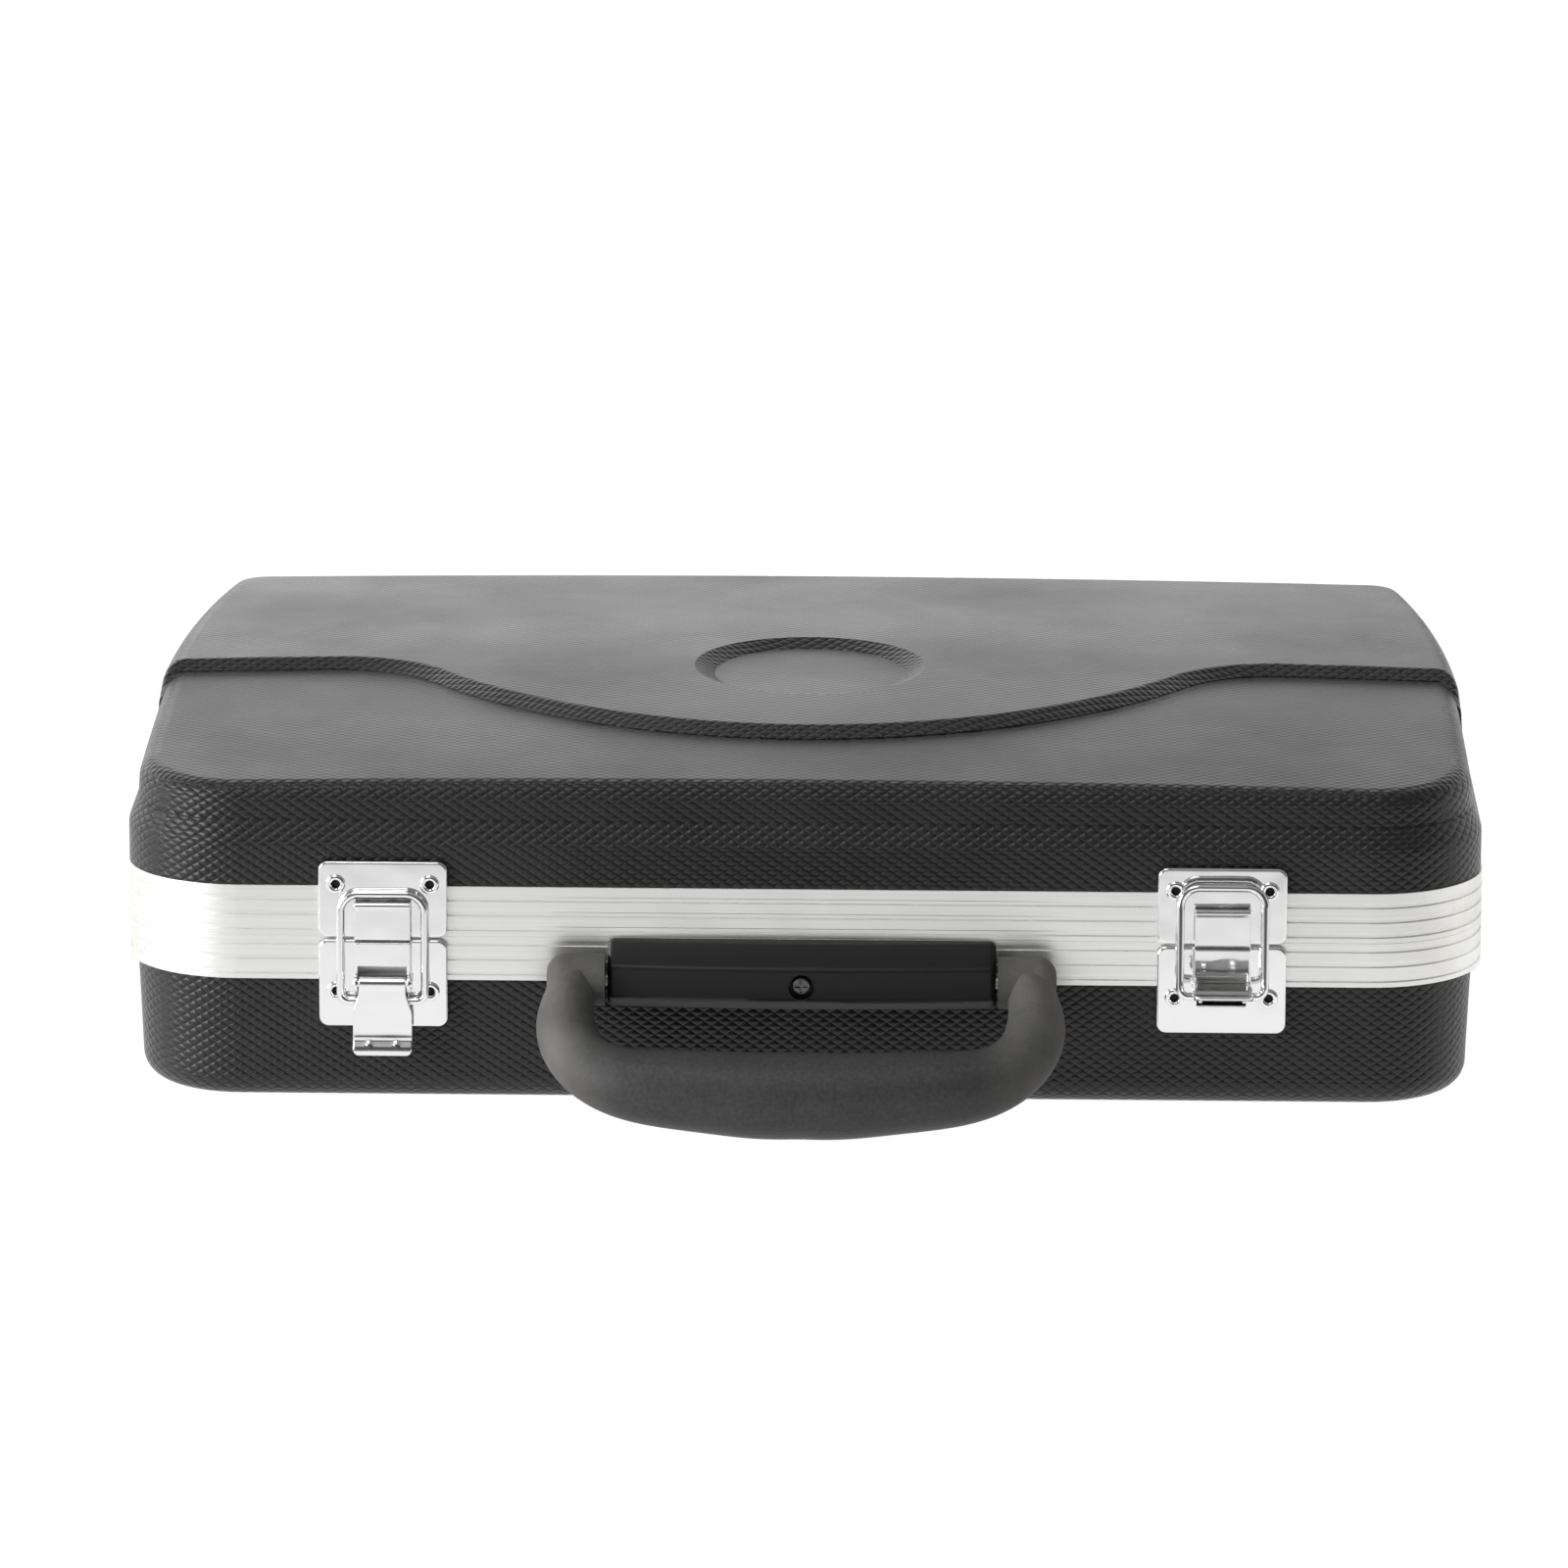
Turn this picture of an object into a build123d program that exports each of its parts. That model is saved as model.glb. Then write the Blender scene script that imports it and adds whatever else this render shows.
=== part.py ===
from build123d import *
import os
from math import asin, atan2, cos, degrees, hypot, radians, sin, sqrt, tan

os.makedirs("parts", exist_ok=True)

# ---------------------------------------------------------------------------
# Driving dimensions, in millimetres. X runs along the case, -Y is the front
# with the latches and the handle, +Z is up, and the origin is the centre of
# the underside. An inset is measured inward from the outside of the rims.
# ---------------------------------------------------------------------------

# Overall form
case_width = 360.0
case_depth = 228.0
corner_radius = 31.0
parting_height = 46.0

# Moulded shells
skin = 2.5
neck_inset = 2.4
base_draft = 2.4
base_edge_radius = 7.0
belt_inset = 0.4
belt_height = 11.0
ledge_height = 5.9
ledge_width = 2.1
ledge_blend = 4.0
wall_draft = 4.0
shoulder_radius = 5.5
bow_start = -30.0
bow_radius = 850.0
rear_corner_radius = 13.0
crown_height = 96.0
crown_radius = 1600.0
crown_centre = 30.0
cross_radius = 9000.0

# Wave-shaped step and round recess of the lid
wave_step = 3.0
wave_overhang = 1.0
wave_front = -71.0
wave_shoulder = -6.5
wave_side_run = 67.7
wave_blend = 34.0
wave_slope = 60.0
wave_upright_drop = 9.5
wave_top_blend = 1.5
wave_foot_blend = 4.0
recess_radius = 31.5
recess_floor_radius = 26.0
recess_depth = 2.4
recess_centre = -9.0

# Aluminium rims
base_rim_height = 12.0
lid_rim_height = 13.4
rim_leg = 2.3
rim_web = 1.6
rim_grip = 1.2
grip_depth = 6.0
tongue_height = 2.6
groove_depth = 0.4
groove_width = 1.2
groove_offsets = (2.0, 6.0, 10.0)
fit_gap = 0.1
tongue_gap = 0.3

# Plush insert and lid lining
lining_gap = 0.3
insert_gap = 0.4
insert_top_drop = 2.2
insert_edge_radius = 8.0
trough_lip_radius = 2.5
lining_thickness = 4.0
lining_edge_radius = 12.0
lining_corner_radius = 18.0
lining_lift = 0.6
insert_margin = 5.0
trough_round = 0.42
trough_end_radius = 12.0
compartment_corner = 9.0
compartment_floor = 6.0
trough_margin = 7.4
trough_gap = 8.0
row_gap = 9.0
# width and depth of each trough, and the long one's share of its row
lower_joint_trough = (40.0, 31.0)
barrel_trough = (36.0, 28.0)
lower_joint_share = 0.796
upper_joint_trough = (38.0, 30.0)
mouthpiece_trough = (34.0, 27.0)
upper_joint_share = 0.716
compartment_margin = 5.0
compartment_front_margin = 16.4
compartment_rear_gap = 20.0
compartment_gap = 12.5
swab_share = 0.48
swab_depth = 34.0
reed_depth = 30.0
bell_margin = 2.0
bell_length = 108.0
bell_radius = 40.1
bell_neck = 24.0
bell_lip = 8.0
bell_flare = 0.41

# Latches
latch_spacing = 220.6
plate_width = 34.0
plate_stand = 1.8
sheet = 0.9
plate_corner = 2.6
catch_height = 20.6
catch_foot_drop = 0.2
hook_width = 14.8
hook_reach = 3.2
bead_rise = 9.3
bead_radius = 1.05
base_plate_top_drop = 0.8
base_plate_height = 23.6
bridge_height = 6.4
pivot_reach = 5.0
pivot_drop = 11.8
pin_radius = 1.2
running_gap = 0.05
barrel_radius = 2.2
ear_radius = 2.5
ear_foot = 2.5
lever_width = 12.4
tab_width = 15.5
lever_face = 9.6
lever_length = 18.7
tab_step = 0.8
lip_reach = 0.9
wire_radius = 1.05
bail_width = 22.2
bail_corner = 5.0
bail_pivot_reach = 4.5
bail_pivot_drop = 16.7
bail_hook_reach = 3.3
bail_hook_rise = 11.95
bail_end = 0.3
bail_foot_bend = 2.2
lever_open = {"left": 0.0, "right": 92.0}
bail_lean = 0.06
rivet_spacing = 24.7
rivet_radius = 2.9
rivet_hole = 0.9
rivet_shank = 1.5
rivet_head = 0.8
catch_rivet_rise = 14.3
base_rivet_drop = 14.7

# Handle
mount_width = 102.0
mount_top_drop = 0.2
mount_bottom_drop = 17.0
mount_reach = 12.4
mount_bow_radius = 620.0
mount_edge_radius = 1.8
handle_pivot_reach = 7.5
handle_pivot_drop = 9.5
handle_pin_radius = 1.8
handle_pin_depth = 12.0
handle_pin_reach = 7.6
arm_gap = 0.5
grip_radius = 11.4
grip_reach = 36.5
grip_clearance = 2.1
eye_radius = 6.9
eye_width = 15.4
eye_round = 5.0
# half of the bow, from the middle: place along, reach out, turn, width and thickness
handle_stations = [
    (0.0, 1.0, 0, 1.0, 1.0),
    (0.33, 0.986, 3, 0.962, 0.97),
    (0.625, 0.942, 9, 0.88, 0.9),
    (0.845, 0.855, 27, 0.775, 0.79),
    (0.975, 0.685, 54, 0.715, 0.7),
    (1.04, 0.38, 82, 0.675, 0.65),
    (1.0, 0.0, 94, 0.63, 0.575),
]
screw_drop = 10.0
screw_radius = 1.7
screw_head_radius = 2.6
screw_head_height = 1.8
screw_bore_radius = 3.4
screw_recess = 1.0
screw_cross_width = 0.7
screw_cross_length = 3.4
backing_width = 90.0
backing_height = 7.4
backing_thickness = 1.3
backing_gap = 0.2

# Hinges
hinge_spacing = 224.0
hinge_width = 38.0
hinge_knuckles = 5
hinge_leaf = 1.2
hinge_reach = 3.1
hinge_knuckle_radius = 2.7
hinge_pin_radius = 1.2
hinge_leaf_height = 10.6
knuckle_gap = 0.3
hinge_rivet_spacing = 22.0
hinge_rivet_drop = 7.6
hinge_rivet_radius = 2.3

# ---------------------------------------------------------------------------
# Sizes worked out from the ones above
# ---------------------------------------------------------------------------
front = -case_depth / 2
back = case_depth / 2
base_rim_bottom = parting_height - base_rim_height
lid_rim_top = parting_height + lid_rim_height
belt_top = lid_rim_top + belt_height
ledge_lean = degrees(atan2(ledge_width, ledge_height))
neck_inner = neck_inset + skin
grip_inset = neck_inner + fit_gap
tongue_top = parting_height + tongue_height
insert_top = parting_height - insert_top_drop
insert_inset = grip_inset + rim_grip + insert_gap
trough_end = case_width / 2 - insert_inset - trough_margin
row_length = 2 * trough_end - trough_gap
rear_row_y = case_depth / 2 - insert_inset - trough_margin - lower_joint_trough[0] / 2
front_row_y = rear_row_y - row_gap - (lower_joint_trough[0] + upper_joint_trough[0]) / 2
compartment_rear = front_row_y - upper_joint_trough[0] / 2 - compartment_rear_gap
compartment_front = insert_inset + compartment_front_margin - case_depth / 2
bell_left = bell_margin - trough_end
bell_y = (compartment_rear + compartment_front) / 2
catch_rivet_height = parting_height + catch_rivet_rise
base_rivet_height = parting_height - base_rivet_drop
catch_foot = parting_height - catch_foot_drop
hook_front = plate_stand + hook_reach
plate_top = parting_height - base_plate_top_drop
plate_foot = plate_top - base_plate_height
pivot_height = parting_height - pivot_drop
screw_height = parting_height - screw_drop
handle_pivot_height = parting_height - handle_pivot_drop
wave_half = case_width / 2 - wave_side_run
wave_reach = wave_shoulder - wave_front
wave_radius = (wave_half**2 + wave_reach**2) / (2 * wave_reach)
wave_centre = wave_front + wave_radius
latch_places = {"left": -latch_spacing / 2, "right": latch_spacing / 2}
hinge_places = {"left": -hinge_spacing / 2, "right": hinge_spacing / 2}


def write(builder, name):
    """Label a finished piece and write it as one STEP file."""
    builder.part.label = name
    export_step(builder.part, f"parts/{name}.step")


def plan_outline(inset):
    """The case's rounded plan, moved in by inset."""
    RectangleRounded(case_width - 2 * inset, case_depth - 2 * inset, corner_radius - inset)


def upper_outline(height, inset, rear_radius):
    """The lid's plan above its ledge: from bow_start the sides draw in on a wide arc to the back."""
    side = case_width / 2 - inset
    end = case_depth / 2 - inset
    turn = corner_radius - inset
    bow = bow_radius - inset
    rear = side - bow + sqrt(bow**2 - (end - bow_start) ** 2)
    with BuildSketch(Plane.XY.offset(height)) as outline:
        with BuildLine():
            Line((0, -end), (side - turn, -end))
            CenterArc((side - turn, turn - end), turn, -90, 90)
            Line((side, turn - end), (side, bow_start))
            CenterArc((side - bow, bow_start), bow, 0, degrees(asin((end - bow_start) / bow)))
            Line((rear, end), (0, end))
            mirror(about=Plane.YZ)
        make_face()
        fillet(outline.vertices().group_by(Axis.Y)[-1], rear_radius)
    return outline.sketch


def front_plane(x):
    """Plane across the case at x: its X is the reach out from the rim, its Y is the height."""
    return Plane(origin=(x, front, 0), x_dir=(0, -1, 0), z_dir=(-1, 0, 0))


def face_plane(reach):
    """Upright plane in front of the rim by reach, looking at the case: X along it, Y up."""
    return Plane(origin=(0, front - reach, 0), x_dir=(1, 0, 0), z_dir=(0, -1, 0))


def rear_plane(x):
    """Plane across the case at x: its X is the reach out behind the rim, its Y is the height."""
    return Plane(origin=(x, back, 0), x_dir=(0, 1, 0), z_dir=(1, 0, 0))


def back_face_plane(reach):
    """Upright plane behind the rim by reach, looking at the case from behind: X runs to the left."""
    return Plane(origin=(0, back + reach, 0), x_dir=(-1, 0, 0), z_dir=(0, 1, 0))


# ---------------------------------------------------------------------------
# Base and lid mouldings
# ---------------------------------------------------------------------------
def base_form(wall):
    """The base moulding as a closed form, each face moved in by wall."""
    with BuildPart() as form:
        with BuildSketch(Plane.XY.offset(base_rim_bottom)):
            plan_outline(neck_inset + wall)
        extrude(amount=-(base_rim_bottom - wall), taper=base_draft)
        floor_edges = form.edges().group_by(Axis.Z)[0]
        fillet(floor_edges, base_edge_radius - wall)
        with BuildSketch(Plane.XY.offset(base_rim_bottom)):
            plan_outline(neck_inset + wall)
        extrude(amount=base_rim_height - (rim_web + fit_gap if wall == 0 else 0))
    return form.part


def under_crown(top):
    """Everything under the lid's crowned surface, whose highest line is at top."""
    half = case_depth / 2 + skin

    def crown(y):
        return (y, top - crown_radius + sqrt(crown_radius**2 - (y - crown_centre) ** 2))

    with BuildPart() as body:
        with BuildSketch(Plane.YZ):
            with BuildLine():
                ThreePointArc(crown(-half), (crown_centre, top), crown(half))
                Polyline(crown(half), (half, parting_height), (-half, parting_height), crown(-half))
            make_face()
        cross_arc = degrees(asin((case_width / 2 + skin) / cross_radius))
        revolve(axis=Axis((0, 0, -cross_radius), (0, 1, 0)), revolution_arc=cross_arc)
        mirror(about=Plane.YZ)
    return body.part


def crowned_block(inset, top, wall):
    """The lid above its belt: drafted walls, a crowned top and a rounded shoulder."""
    with BuildPart() as block:
        outline = upper_outline(belt_top, inset + wall, rear_corner_radius - inset - wall)
        extrude(outline, amount=top - belt_top + skin, taper=wall_draft)
        add(under_crown(top - wall), mode=Mode.INTERSECT)
        shoulder = block.edges().filter_by(lambda e: e.bounding_box().min.Z > belt_top + skin)
        fillet(shoulder, shoulder_radius - wall)
    return block.part


def wave_region():
    """The part of the lid behind the wave: a sloping front above, upright below."""
    foot = crown_height - wave_upright_drop
    middle = crown_height - 1.5 * wave_step
    spread = (middle - foot) * tan(radians(wave_slope))
    line = wave_shoulder - spread
    with BuildPart() as region:
        with BuildSketch(Plane.XY.offset(foot)) as outline:
            with Locations((0, line + case_depth / 2)):
                Rectangle(2 * case_width, case_depth)
            with Locations((0, wave_centre)):
                Circle(wave_radius + spread)
            inner_corners = outline.vertices().filter_by(
                lambda v: abs(v.Y - line) < 0.1 and abs(v.X) < case_width / 2
            )
            fillet(inner_corners, wave_blend - spread)
        extrude(amount=crown_height + wave_step / 2 - foot, taper=wave_slope)
        extrude(region.faces().sort_by(Axis.Z)[0], amount=foot - parting_height)
    return region.part


def raised_block(wall):
    """The higher part of the lid, behind the wave."""
    with BuildPart() as block:
        add(crowned_block(belt_inset + ledge_width - wave_overhang, crown_height, wall))
        add(wave_region(), mode=Mode.INTERSECT)
    return block.part


def wave_edges(form, lowest, highest):
    """The long edges of the wave's step that lie across the top between two heights."""
    return form.edges().filter_by(
        lambda e: e.bounding_box().min.Z > lowest
        and e.bounding_box().max.Z < highest
        and e.bounding_box().min.Y > wave_centre - wave_radius - shoulder_radius
        and e.bounding_box().max.Y < 0
        and e.length > 2 * wave_step
    )


def belt_form(wall):
    """The lid's belt, the ledge that leans in above it and the neck that stands in the rim."""
    with BuildPart() as belt:
        with BuildSketch(Plane.XY.offset(belt_top)):
            plan_outline(belt_inset + wall)
        extrude(amount=ledge_height - wall, taper=ledge_lean)
        with BuildSketch(Plane.XY.offset(lid_rim_top + wall)):
            plan_outline(belt_inset + wall)
        extrude(amount=belt_height - wall)
        ledge_edges = belt.edges().filter_by(
            lambda e: abs(e.bounding_box().min.Z - belt_top) < 0.01
            and e.bounding_box().size.Z < 0.01
        )
        fillet(ledge_edges, ledge_blend)
        neck_foot = parting_height + rim_web + fit_gap
        with BuildSketch(Plane.XY.offset(neck_foot)):
            plan_outline(neck_inset + wall)
        extrude(amount=lid_rim_top + wall - neck_foot)
    return belt.part


def lid_form(wall):
    """The lid moulding as a closed form, each face moved in by wall."""
    with BuildPart() as form:
        add(crowned_block(belt_inset + ledge_width, crown_height - wave_step, wall))
        add(raised_block(wall))
        if wall == 0:
            middle = crown_height - 1.25 * wave_step
            fillet(wave_edges(form, middle, crown_height), wave_top_blend)
            fillet(wave_edges(form, middle - 1.25 * wave_step, middle), wave_foot_blend)
        add(belt_form(wall))
        with Locations(recess_plane()):
            Cone(
                recess_radius,
                recess_floor_radius,
                recess_depth,
                align=(Align.CENTER, Align.CENTER, Align.MIN),
                mode=Mode.SUBTRACT,
            )
    return form.part


def recess_plane():
    """Plane that touches the crown at the recess, looking down into it."""
    lean = asin((crown_centre - recess_centre) / crown_radius)
    height = crown_height - crown_radius * (1 - cos(lean))
    return Plane(origin=(0, recess_centre, height), x_dir=(1, 0, 0), z_dir=(0, sin(lean), -cos(lean)))


# ---------------------------------------------------------------------------
# Rivets, and the holes that they fill
# ---------------------------------------------------------------------------
def spread(places, spacing, height):
    """Pairs of points, one on each side of every place, at one height."""
    return [(x + side * spacing / 2, height) for x in places.values() for side in (-1, 1)]


def rivet_row(plane_at, points, head_radius, seat, depth):
    """Hollow rivets whose heads sit on a sheet at seat and whose shanks run in by depth."""
    with BuildPart() as row:
        for x, height in points:
            side = plane_at(x)
            with BuildSketch(side):
                with BuildLine():
                    Polyline(
                        (seat - rivet_head, height),
                        (seat - depth, height),
                        (seat - depth, height + rivet_shank),
                        (seat, height + rivet_shank),
                        (seat, height + head_radius),
                    )
                    RadiusArc(
                        (seat, height + head_radius),
                        (seat + rivet_head, height + head_radius - rivet_head),
                        rivet_head,
                    )
                    Polyline(
                        (seat + rivet_head, height + head_radius - rivet_head),
                        (seat + rivet_head / 2, height + rivet_hole),
                        (seat - rivet_head, height + rivet_hole),
                        (seat - rivet_head, height),
                    )
                make_face()
            centre = side.from_local_coords((0, height, 0))
            revolve(axis=Axis(centre, side.x_dir))
    return row.part


def drill(plane, points, radius, depth):
    """Holes of one radius, drilled in from a plane at several points."""
    with Locations(plane):
        with Locations(*points):
            Hole(radius, depth=depth)


catch_rivets = spread(latch_places, rivet_spacing, catch_rivet_height)
base_rivets = spread(latch_places, rivet_spacing, base_rivet_height)
upper_hinge_rivets = spread(hinge_places, hinge_rivet_spacing, parting_height + hinge_rivet_drop)
lower_hinge_rivets = spread(hinge_places, hinge_rivet_spacing, parting_height - hinge_rivet_drop)
shank_hole = rivet_shank + fit_gap / 4
plate_rivet_depth = plate_stand + neck_inner - fit_gap
hinge_rivet_depth = hinge_leaf + rim_leg

# The base and lid shells
with BuildPart() as base_shell:
    add(base_form(0))
    add(base_form(skin), mode=Mode.SUBTRACT)
    drill(face_plane(0), base_rivets, shank_hole, 2 * neck_inner)
    drill(face_plane(0), [(0, screw_height)], screw_radius + fit_gap, 2 * neck_inner)
write(base_shell, "base_shell")

with BuildPart() as lid_shell:
    add(lid_form(0))
    add(lid_form(skin), mode=Mode.SUBTRACT)
    drill(face_plane(0), catch_rivets, shank_hole, 2 * neck_inner)
write(lid_shell, "lid_shell")


# ---------------------------------------------------------------------------
# Aluminium rims: one section each, bent round the case
# ---------------------------------------------------------------------------
def rim_path():
    """The outside line of the rims at the parting line, from the middle of the back."""
    half_x = case_width / 2
    half_y = case_depth / 2
    turn = corner_radius
    with BuildLine() as path:
        Line((0, half_y, 0), (turn - half_x, half_y, 0))
        for x, y, start in ((-1, 1, 90), (-1, -1, 180), (1, -1, 270), (1, 1, 0)):
            centre = (x * (half_x - turn), y * (half_y - turn), 0)
            CenterArc(centre, turn, start, 90)
        Line((-half_x, half_y - turn, 0), (-half_x, turn - half_y, 0))
        Line((turn - half_x, -half_y, 0), (half_x - turn, -half_y, 0))
        Line((half_x, turn - half_y, 0), (half_x, half_y - turn, 0))
        Line((half_x - turn, half_y, 0), (0, half_y, 0))
    return path.wire()


def rim_section(leg_end, inner_end, inner_near, web_inset):
    """A rim's section on the back of the case: reach from the outside, height from parting."""
    way = 1 if leg_end > 0 else -1
    inward = Plane(origin=(0, back, parting_height), x_dir=(0, -1, 0), z_dir=(-1, 0, 0))
    with BuildSketch(inward) as section:
        with Locations((rim_leg / 2, leg_end / 2)):
            Rectangle(rim_leg, abs(leg_end))
        with Locations((web_inset / 2, way * rim_web / 2)):
            Rectangle(web_inset, rim_web)
        if inner_end != inner_near:
            with Locations((grip_inset + rim_grip / 2, (inner_end + inner_near) / 2)):
                Rectangle(rim_grip, abs(inner_end - inner_near))
        with Locations(*[(0, way * offset) for offset in groove_offsets]):
            Rectangle(2 * groove_depth, groove_width, mode=Mode.SUBTRACT)
    return section.sketch


with BuildPart() as base_rim:
    sweep(
        rim_section(-base_rim_height, tongue_height, -grip_depth, grip_inset + rim_grip),
        path=rim_path(),
    )
    drill(face_plane(0), [(0, screw_height)], screw_radius + fit_gap, rim_leg)
    drill(back_face_plane(0), lower_hinge_rivets, shank_hole, rim_leg)
write(base_rim, "base_rim")

with BuildPart() as lid_rim:
    sweep(rim_section(lid_rim_height, 0, 0, neck_inner - tongue_gap), path=rim_path())
    drill(face_plane(0), catch_rivets, shank_hole, rim_leg)
    drill(back_face_plane(0), upper_hinge_rivets, shank_hole, rim_leg)
write(lid_rim, "lid_rim")


# ---------------------------------------------------------------------------
# Plush insert with its troughs, and the lid's lining
# ---------------------------------------------------------------------------
def round_trough(length, width, depth, x, y):
    """A trough for a joint of the clarinet: a U-shaped section that runs along the case."""
    with BuildPart() as trough:
        with BuildSketch(Plane(origin=(x, y, insert_top), x_dir=(0, 1, 0), z_dir=(1, 0, 0))) as section:
            with Locations((0, (insert_margin - depth) / 2)):
                Rectangle(width, depth + insert_margin)
            fillet(section.vertices().group_by(Axis.Y)[0], width * trough_round)
        extrude(amount=length / 2, both=True)
        with BuildSketch(Plane.XY.offset(insert_top - depth)):
            with Locations((x, y)):
                RectangleRounded(length, width, trough_end_radius)
        extrude(amount=depth + insert_margin, mode=Mode.INTERSECT)
    return trough.part


def bell_trough():
    """The trough for the bell: half of a cone that lies along the case."""
    right = bell_left + bell_length
    flare_depth = bell_neck + (bell_radius - bell_neck) * bell_flare
    flare = (bell_left + bell_length * bell_flare, insert_top - flare_depth)
    with BuildPart() as trough:
        with BuildSketch(Plane.XZ.offset(-bell_y)):
            with BuildLine():
                Polyline(
                    (bell_left + bell_lip, insert_top - bell_radius),
                    (bell_left, insert_top - bell_radius),
                    (bell_left, insert_top),
                    (right, insert_top),
                    (right, insert_top - bell_neck),
                )
                ThreePointArc(
                    (right, insert_top - bell_neck),
                    flare,
                    (bell_left + bell_lip, insert_top - bell_radius),
                )
            make_face()
        revolve(axis=Axis((0, bell_y, insert_top), (1, 0, 0)))
    return trough.part


def compartment(length, width, depth, x, y):
    """A rectangular compartment with rounded corners and floor."""
    with BuildPart() as box:
        with BuildSketch(Plane.XY.offset(insert_top - depth)):
            with Locations((x, y)):
                RectangleRounded(length, width, compartment_corner)
        extrude(amount=depth + insert_margin)
        fillet(box.edges().group_by(Axis.Z)[0], compartment_floor)
    return box.part


def trough_row(y, long_share, long_trough, short_trough):
    """Two troughs end to end across the insert, each given by its width and depth."""
    long_length = long_share * row_length
    short_length = row_length - long_length
    add(round_trough(long_length, *long_trough, long_length / 2 - trough_end, y), mode=Mode.SUBTRACT)
    add(round_trough(short_length, *short_trough, trough_end - short_length / 2, y), mode=Mode.SUBTRACT)


def compartment_row():
    """Two compartments in front of the troughs, between the bell and the right end."""
    left = bell_left + bell_length + compartment_gap
    right = trough_end - compartment_margin
    length = right - left - compartment_gap
    width = compartment_rear - compartment_front
    swab_length = swab_share * length
    reed_length = length - swab_length
    add(compartment(swab_length, width, swab_depth, left + swab_length / 2, bell_y), mode=Mode.SUBTRACT)
    add(compartment(reed_length, width, reed_depth, right - reed_length / 2, bell_y), mode=Mode.SUBTRACT)


with BuildPart() as insert_pad:
    with BuildSketch(Plane.XY.offset(skin)):
        plan_outline(insert_inset)
    extrude(amount=insert_top - skin)
    fillet(insert_pad.edges().group_by(Axis.Z)[0], insert_edge_radius)
    trough_row(rear_row_y, lower_joint_share, lower_joint_trough, barrel_trough)
    trough_row(front_row_y, upper_joint_share, upper_joint_trough, mouthpiece_trough)
    compartment_row()
    add(bell_trough(), mode=Mode.SUBTRACT)
    lips = insert_pad.edges().group_by(Axis.Z)[-1]
    fillet(lips, trough_lip_radius)
write(insert_pad, "base_insert")


def lining_hollow():
    """The space inside the lid's lining, under a ceiling that follows the crown."""
    covering = skin + lining_gap + lining_thickness
    with BuildPart() as hollow:
        inset = belt_inset + ledge_width + wave_overhang + covering
        extrude(
            upper_outline(parting_height, inset, lining_corner_radius),
            amount=crown_height - parting_height,
        )
        add(under_crown(crown_height - wave_step - covering), mode=Mode.INTERSECT)
        ceiling = hollow.edges().filter_by(lambda e: e.bounding_box().min.Z > belt_top)
        fillet(ceiling, lining_edge_radius)
    return hollow.part


with BuildPart() as lid_lining:
    add(lid_form(skin + lining_gap))
    with Locations((0, 0, tongue_top + lining_lift)):
        Box(
            2 * case_width,
            2 * case_depth,
            parting_height,
            align=(Align.CENTER, Align.CENTER, Align.MAX),
            mode=Mode.SUBTRACT,
        )
    add(lining_hollow(), mode=Mode.SUBTRACT)
write(lid_lining, "lid_lining")


# ---------------------------------------------------------------------------
# Latches
# ---------------------------------------------------------------------------
def pan(x, foot, height, seat):
    """A pressed plate: rounded corners, a flat face and an edge turned back to the case."""
    middle = (x, foot + height / 2)
    with BuildPart() as plate:
        with BuildSketch(face_plane(seat)):
            with Locations(middle):
                RectangleRounded(plate_width, height, plate_corner)
        extrude(amount=plate_stand - seat)
        fillet(plate.faces().sort_by(Axis.Y)[0].edges(), sheet * 0.7)
        with BuildSketch(face_plane(seat)):
            with Locations(middle):
                RectangleRounded(plate_width - 2 * sheet, height - 2 * sheet, plate_corner - sheet)
        extrude(amount=plate_stand - sheet - seat, mode=Mode.SUBTRACT)
    return plate.part


def catch_plate(x):
    """The lid's half of a latch: a pressed plate with a hook whose end is rolled to a bead."""
    bead_reach = hook_front - sheet / 2
    bead_height = catch_foot + bead_rise
    with BuildPart() as catch:
        add(pan(x, catch_foot, catch_height, 0))
        with BuildSketch(front_plane(x)):
            with Locations(((plate_stand - sheet + hook_front) / 2, catch_foot + sheet / 2)):
                Rectangle(hook_front - plate_stand + sheet, sheet)
            with Locations((bead_reach, catch_foot + bead_rise / 2)):
                Rectangle(sheet, bead_rise)
            with Locations((bead_reach, bead_height)):
                Circle(bead_radius)
        extrude(amount=hook_width / 2, both=True)
        outer_bend = catch.edges().filter_by(Axis.X).filter_by(
            lambda e: abs(e.center().Z - catch_foot) < 0.01
            and abs(e.center().Y - front + hook_front) < 0.01
        )
        fillet(outer_bend, sheet * 0.6)
        points = [(x + side * rivet_spacing / 2, catch_rivet_height) for side in (-1, 1)]
        drill(face_plane(plate_stand), points, shank_hole, plate_stand)
    return catch


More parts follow.
